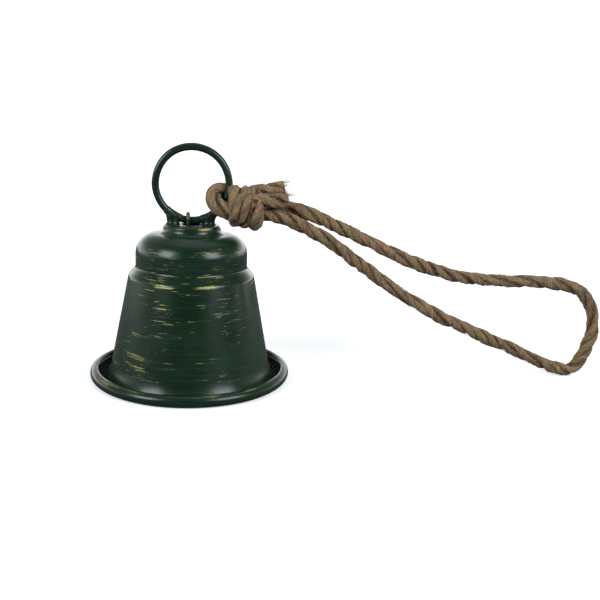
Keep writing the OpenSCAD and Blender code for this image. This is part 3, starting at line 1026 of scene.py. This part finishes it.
class BELL_OT_ring(Operator):
    """Bend the hanging ring and braze it to the crown"""

    bl_idname = "bell.ring"
    bl_label = "Hanging ring"

    def execute(self, context):
        ring = context.scene.bell_ring
        low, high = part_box("hanging_ring")
        centre = (low + high) / 2
        wire = (high.y - low.y) / 2
        middle = (high.x - low.x) / 2 - wire
        bm = bmesh.new()
        self.wire_ring(bm, centre, middle, wire, ring.segments, ring.wire_segments)
        for v in bm.verts:
            v.co += (v.co - centre).normalized() * 0.08 * MM * noise.noise(v.co * 130)
        paint = material("ring_paint", make_ring_paint)
        finish_piece("hanging_ring_painted", bm, paint, "bell", ["hanging_ring"])
        for node in ("ring_braze_left", "ring_braze_right"):
            self.braze(node, centre, middle, wire, ring, paint)
        return {"FINISHED"}

    def wire_ring(self, bm, centre, middle, wire, segments, wire_segments, start=0.0, sweep=None):
        """Adds a ring of round wire in the XZ plane, or an arc of one."""
        turn = Matrix.Rotation(start, 3, "Y")
        made = bmesh.ops.create_circle(bm, segments=wire_segments, radius=wire)["verts"]
        bmesh.ops.translate(bm, verts=made, vec=(middle, 0, 0))
        bmesh.ops.rotate(bm, verts=made, cent=(0, 0, 0), matrix=turn)
        bmesh.ops.translate(bm, verts=made, vec=centre)
        edges = list({e for v in made for e in v.link_edges})
        bmesh.ops.spin(bm, geom=made + edges, cent=centre, axis=(0, 1, 0), dvec=(0, 0, 0),
                       angle=2 * math.pi if sweep is None else sweep, steps=segments,
                       use_merge=sweep is None)
        bmesh.ops.remove_doubles(bm, verts=bm.verts, dist=SAME_PLACE)
        bmesh.ops.recalc_face_normals(bm, faces=bm.faces)

    def braze(self, node, centre, middle, wire, ring, paint):
        """One braze: a waisted column of metal that flows onto the crown and up round the wire."""
        low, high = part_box(node)
        across = (low.x + high.x) / 2
        drop = math.sqrt(middle ** 2 - across ** 2)
        crown = low.z
        bm = bmesh.new()
        self.column(bm, (across, 0, crown), (high.x - low.x) / 2, centre.z - drop - crown)
        self.collar(bm, centre, middle, wire + ring.braze_collar, math.atan2(drop, across))
        bm = self.melted(bm, ring.braze_grain)
        for v in bm.verts:
            out = Vector((v.co.x - across, v.co.y, 0)).normalized()
            v.co += out * 0.14 * MM * noise.noise(v.co * 420)
            v.co.z = max(v.co.z, crown - 0.05 * MM)
        finish_piece(node + "_metal", bm, paint, "bell", [node])

    def column(self, bm, place, foot, height):
        """Adds a waisted column with a closed top and foot."""
        # How wide it is, as a share of the foot's radius, at each share of its height
        waist = [(1.32, 0.0), (1.14, 0.10), (1.04, 0.25), (1.02, 0.5), (1.16, 0.8), (1.24, 1.02)]
        loops = []
        for wide, share in waist:
            made = bmesh.ops.create_circle(bm, segments=32, radius=foot * wide)["verts"]
            bmesh.ops.translate(bm, verts=made, vec=(place[0], place[1], place[2] + height * share))
            loops.append(list({e for v in made for e in v.link_edges}))
        for below, above in zip(loops, loops[1:]):
            bmesh.ops.bridge_loops(bm, edges=below + above)
        close_ends(bm)

    def collar(self, bm, centre, middle, radius, tilt):
        """Adds a short sleeve of metal round the ring's wire."""
        half_sweep = 0.24
        sleeve = bmesh.new()
        self.wire_ring(sleeve, centre, middle, radius, 24, 24,
                       start=tilt - half_sweep, sweep=2 * half_sweep)
        close_ends(sleeve)
        part = bpy.data.meshes.new("collar")
        sleeve.to_mesh(part)
        sleeve.free()
        bm.from_mesh(part)
        bpy.data.meshes.remove(part)

    def melted(self, bm, grain_size):
        """Runs the lumps of a mesh together and smooths them. Returns the new mesh."""
        rough = bpy.data.meshes.new("braze_rough")
        bm.to_mesh(rough)
        bm.free()
        holder = bpy.data.objects.new("braze_rough", rough)
        bpy.context.scene.collection.objects.link(holder)
        remesh = holder.modifiers.new("melt", "REMESH")
        remesh.mode = "VOXEL"
        remesh.voxel_size = grain_size
        smooth = holder.modifiers.new("flow", "SMOOTH")
        smooth.factor = 0.5
        smooth.iterations = 9
        bpy.context.view_layer.update()
        mesh = bpy.data.meshes.new_from_object(
            holder.evaluated_get(bpy.context.evaluated_depsgraph_get()))
        made = bmesh.new()
        made.from_mesh(mesh)
        bpy.data.objects.remove(holder)
        bpy.data.meshes.remove(rough)
        bpy.data.meshes.remove(mesh)
        return made


class BELL_OT_clapper(Operator):
    """Give the clapper its materials: its wire hanger, its rod and its ball"""

    bl_idname = "bell.clapper"
    bl_label = "Clapper"

    def execute(self, context):
        for node, name, make in (("clapper_hanger", "hanger_paint", make_hanger_paint),
                                 ("clapper_rod", "zinc", make_zinc),
                                 ("clapper_ball", "zinc", make_zinc)):
            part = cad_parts[node]
            part.data.materials.clear()
            part.data.materials.append(material(name, make))
        return {"FINISHED"}


class BELL_OT_stage(Operator):
    """Set the floor, the softboxes and the white room"""

    bl_idname = "bell.stage"
    bl_label = "Studio"

    def execute(self, context):
        studio = context.scene.bell_studio
        self.floor()
        self.room(studio)
        self.softbox("softbox_left", (-0.72, -0.50, 0.50), (0.46, 0.46), studio.softbox)
        self.softbox("softbox_right", (0.62, -0.62, 0.50), (0.46, 0.46), studio.softbox)
        self.softbox("overhead", (0.08, 0.10, 0.95), (0.9, 0.7), studio.overhead)
        context.scene.view_settings.view_transform = "Standard"
        return {"FINISHED"}

    def floor(self):
        bm = bmesh.new()
        bmesh.ops.create_grid(bm, x_segments=8, y_segments=8, size=6)
        mesh = bpy.data.meshes.new("floor")
        bm.to_mesh(mesh)
        bm.free()
        floor = bpy.data.objects.new("floor", mesh)
        bpy.context.scene.collection.objects.link(floor)
        mesh.materials.append(material("floor", self.make_floor))

    def make_floor(self, name):
        """White board that glows for the camera, a painted glow that is weaker near the bell so the
        board is darker round it; the bell sees it as a dark grey copy, painted shade.
        """
        board, tree, shader = new_material(name)
        seen = put(tree, "ShaderNodeLightPath").outputs["Is Camera Ray"]
        far = put(tree, "ShaderNodeVectorMath", {0: object_place(tree)}, operation="LENGTH")
        # Painted glow: the board glows white to the camera, less near the bell
        glow = fit_range(tree, far.outputs["Value"], 0.12, 0.7, 0.45, 1.0)
        feed(tree, shader, {
            # Painted shade: a dark grey copy of the board for every ray but the camera's
            "Base Color": blend_colour(tree, seen, (0.20, 0.20, 0.20, 1), (0.95, 0.95, 0.95, 1)),
            "Roughness": 0.9,
            "Specular IOR Level": 0.0,
            "Emission Color": (1, 1, 1, 1),
            "Emission Strength": scaled(tree, seen, glow)})
        return board

    def room(self, studio):
        """White to the camera; to the bell bright low down behind it, dim above and in front."""
        world = bpy.data.worlds.new("room")
        bpy.context.scene.world = world
        world.use_nodes = True
        tree = world.node_tree
        tree.nodes.clear()
        way = put(tree, "ShaderNodeTexCoord").outputs["Generated"]
        parts = put(tree, "ShaderNodeSeparateXYZ", {0: way})
        behind = fit_range(tree, parts.outputs[1], -0.55, 0.75, 0.05, studio.fill, "SMOOTHSTEP")
        low_down = fit_range(tree, parts.outputs[2], 0.02, 0.45, 1.0, 0.12, "SMOOTHSTEP")
        seen = put(tree, "ShaderNodeLightPath").outputs["Is Camera Ray"]
        strength = blend_value(tree, seen, scaled(tree, behind, low_down), 1.05)
        glow = put(tree, "ShaderNodeBackground", {"Color": (1, 1, 1, 1), "Strength": strength})
        put(tree, "ShaderNodeOutputWorld", {"Surface": glow.outputs[0]})

    def softbox(self, name, place, size, power):
        data = bpy.data.lights.new(name, "AREA")
        data.shape = "RECTANGLE"
        data.size, data.size_y = size
        data.energy = power
        data.color = (0.90, 0.96, 1.0)
        light = bpy.data.objects.new(name, data)
        bpy.context.scene.collection.objects.link(light)
        aim = Vector((0.01, 0, 0.04)) - Vector(place)
        light.rotation_euler = aim.to_track_quat("-Z", "Y").to_euler()
        light.location = place


STEPS = [BELL_OT_camera, BELL_OT_rope, BELL_OT_shell, BELL_OT_ring, BELL_OT_clapper, BELL_OT_stage]


class BELL_PT_sidebar(Panel):
    """Sizes, colours and the steps that build the bell"""

    bl_idname = "BELL_PT_sidebar"
    bl_label = "Bell"
    bl_space_type = "VIEW_3D"
    bl_region_type = "UI"
    bl_category = "Bell"

    def draw(self, context):
        for step in STEPS:
            self.layout.operator(step.bl_idname)
        for name in SETTINGS:
            group = getattr(context.scene, name)
            box = self.layout.box()
            for prop in group.bl_rna.properties:
                if prop.identifier not in ("rna_type", "name"):
                    box.prop(group, prop.identifier)


CLASSES = [*SETTINGS.values(), *STEPS, BELL_PT_sidebar]


def register():
    for cls in CLASSES:
        bpy.utils.register_class(cls)
    for name, cls in SETTINGS.items():
        setattr(bpy.types.Scene, name, PointerProperty(type=cls))


def unregister():
    for name in SETTINGS:
        delattr(bpy.types.Scene, name)
    for cls in reversed(CLASSES):
        bpy.utils.unregister_class(cls)


def main():
    register()
    bpy.ops.bell.camera()
    bpy.ops.bell.rope()
    bpy.ops.bell.shell()
    bpy.ops.bell.ring()
    bpy.ops.bell.clapper()
    bpy.ops.bell.stage()


if __name__ == "__main__":
    main()
